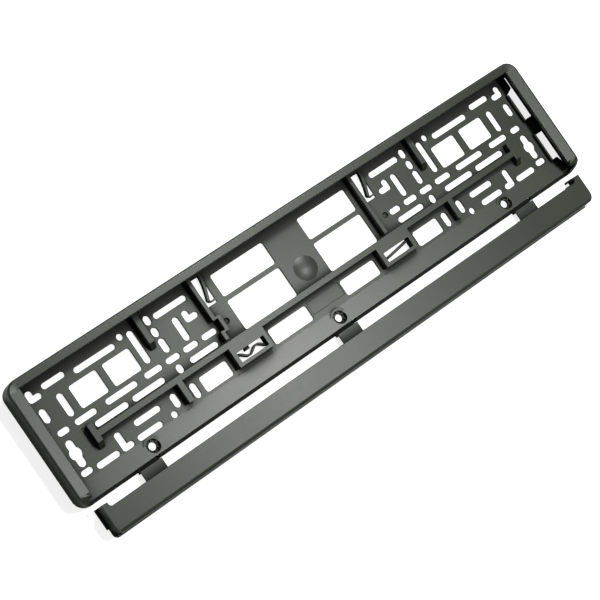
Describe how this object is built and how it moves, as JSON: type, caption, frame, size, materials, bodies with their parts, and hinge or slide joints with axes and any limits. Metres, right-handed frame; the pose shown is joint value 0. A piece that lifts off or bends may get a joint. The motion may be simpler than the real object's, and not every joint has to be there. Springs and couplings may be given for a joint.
{
  "type": "number plate holder",
  "caption": "Flat one-piece plastic holder for a car number plate, with a pierced back panel, a lipped rim and a strip that snaps over the plate's lower edge.",
  "frame": {"origin": "centre of the whole part's outline with the strip open, on the plane of its back", "axes": "+X along the plate's width, +Y up the plate towards the closed rim, +Z out of the face towards the plate"},
  "size_m": [0.536, 0.1426, 0.02],
  "materials": {
    "plastic": "satin"
  },
  "bodies": {
    "root": {"plate_holder": "plastic"}
  },
  "joints": []
}
